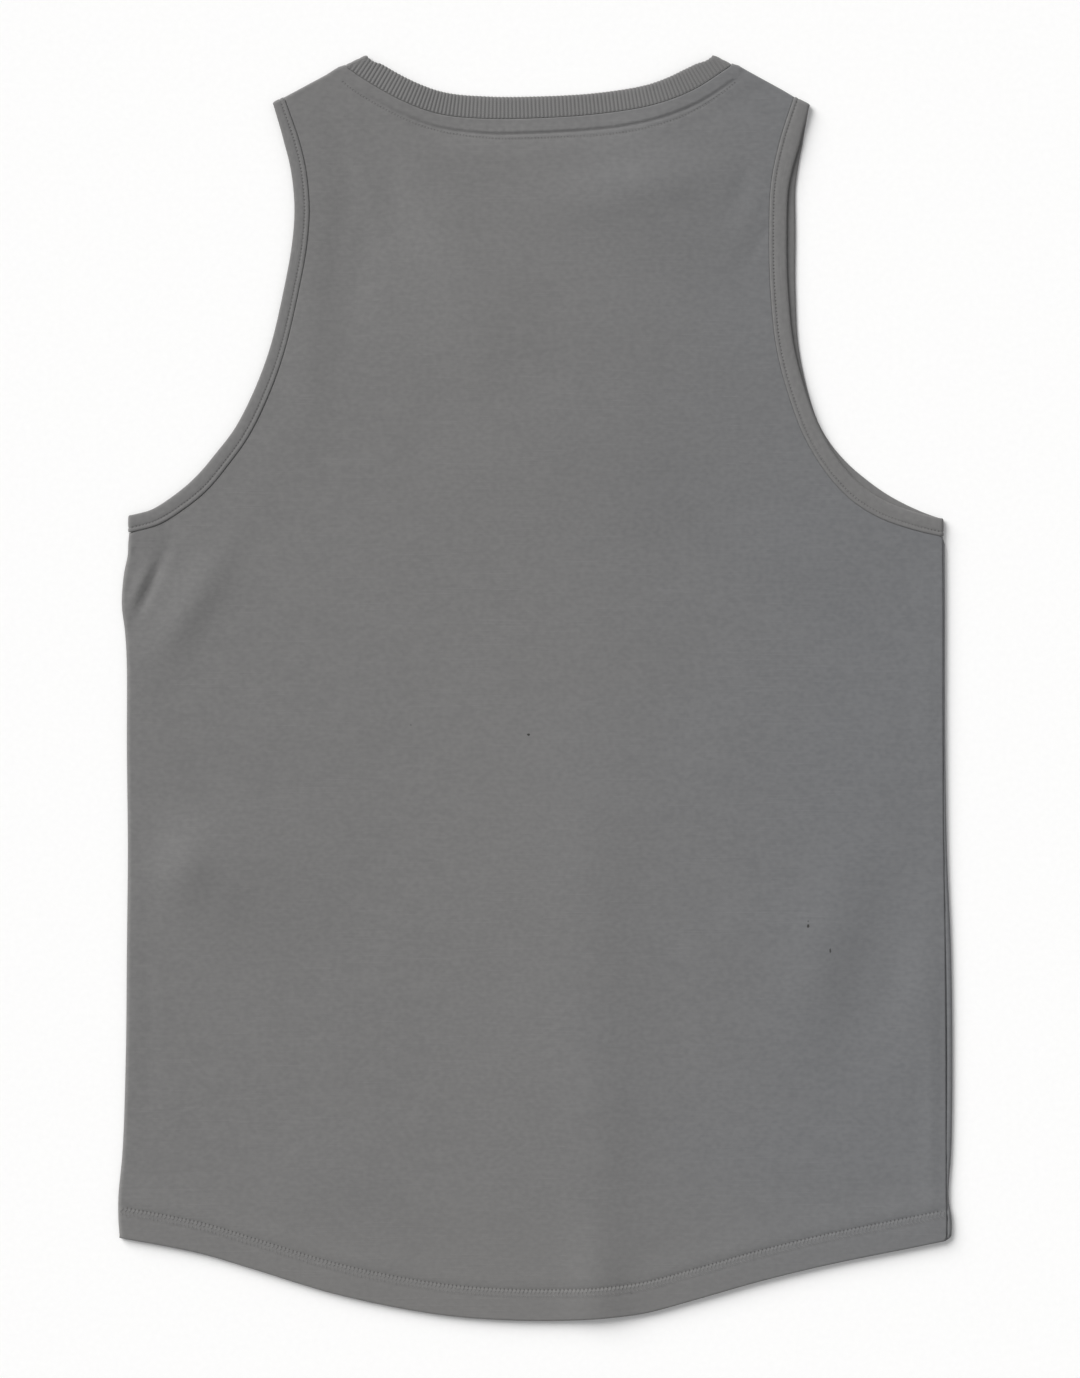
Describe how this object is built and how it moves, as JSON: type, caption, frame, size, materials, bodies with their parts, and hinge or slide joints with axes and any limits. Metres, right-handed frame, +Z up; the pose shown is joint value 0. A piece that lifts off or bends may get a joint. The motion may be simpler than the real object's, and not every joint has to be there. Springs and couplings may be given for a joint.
{
  "type": "tank top",
  "caption": "Plain grey jersey tank top laid flat with its back up: wide shoulders, ribbed neckband, bound armholes and a curved hem.",
  "frame": {"origin": "centre of the garment's outline, on the surface that it lies on", "axes": "+X across the garment towards the wearer's right-hand side as its back faces up, +Y from the hem to the neck, +Z up from the surface that it lies on"},
  "size_m": [0.5132, 0.7796, 0.0053],
  "materials": {
    "jersey": "matt fine jersey knit",
    "rib": "matt fine rib knit"
  },
  "bodies": {
    "root": {"front_panel": "jersey", "back_panel": "jersey", "neckband": "rib", "left_armhole_band": "jersey", "right_armhole_band": "jersey"}
  },
  "joints": []
}
